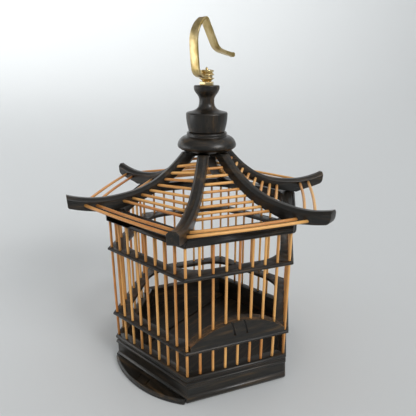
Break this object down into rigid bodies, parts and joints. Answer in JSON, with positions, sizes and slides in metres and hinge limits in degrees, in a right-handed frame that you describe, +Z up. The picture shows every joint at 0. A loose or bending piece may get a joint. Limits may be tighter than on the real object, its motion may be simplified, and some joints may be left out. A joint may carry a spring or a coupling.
{
  "type": "cricket cage",
  "caption": "Hexagonal cricket cage of bamboo splints and dark moulded wood, with a pagoda roof, a lifting door, a pull-out tray and a brass hanging hook.",
  "frame": {"origin": "middle of the foot, on the surface that the cage stands on", "axes": "+Z up, the door faces -Y, two corners lie on the X axis, the tray draws out towards (-0.866, -0.5, 0)"},
  "size_m": [0.187, 0.1652, 0.2336],
  "materials": {
    "hardwood": "polished",
    "bamboo": "satin",
    "brass": "satin"
  },
  "bodies": {
    "cage": {"base_board_1": "hardwood", "base_board_2": "hardwood", "base_board_3": "hardwood", "base_board_4": "hardwood", "base_board_5": "hardwood", "base_board_6": "hardwood", "floor_wing_left": "hardwood", "floor_wing_right": "hardwood", "lower_rail": "hardwood", "upper_rail": "hardwood", "eave_strip_1": "hardwood", "eave_strip_2": "hardwood", "eave_strip_3": "hardwood", "eave_strip_4": "hardwood", "eave_strip_5": "hardwood", "eave_strip_6": "hardwood", "ridge_1": "hardwood", "ridge_2": "hardwood", "ridge_3": "hardwood", "ridge_4": "hardwood", "ridge_5": "hardwood", "ridge_6": "hardwood", "roof_hub": "hardwood", "finial_skirt": "hardwood", "finial_bowl": "hardwood", "corner_bars": "bamboo", "face_bars_2": "bamboo", "face_bars_3": "bamboo", "face_bars_4": "bamboo", "face_bars_5": "bamboo", "face_bars_6": "bamboo", "sill_bars": "bamboo", "roof_splints_1": "bamboo", "roof_splints_2": "bamboo", "roof_splints_3": "bamboo", "roof_splints_4": "bamboo", "roof_splints_5": "bamboo", "roof_splints_6": "bamboo", "stud": "brass", "lower_nut": "brass", "cup_washer": "brass", "cap_nut": "brass"},
    "door": {"door_board": "hardwood", "door_bars": "bamboo"},
    "tray": {"tray_board": "hardwood", "tray_lip": "hardwood"},
    "hook": {"hook": "brass"}
  },
  "joints": [
    {"name": "door_lift", "type": "slide", "parent": "cage", "child": "door", "axis": [0, 0, 1], "range_m": [0, 0.0324]},
    {"name": "tray_draw", "type": "slide", "parent": "cage", "child": "tray", "axis": [-0.866, -0.5, 0], "range_m": [0, 0.075]},
    {"name": "hook_turn", "type": "hinge", "parent": "cage", "child": "hook", "pos_m": [0, 0, 0.1986], "axis": [0, 0, 1], "continuous": true}
  ]
}
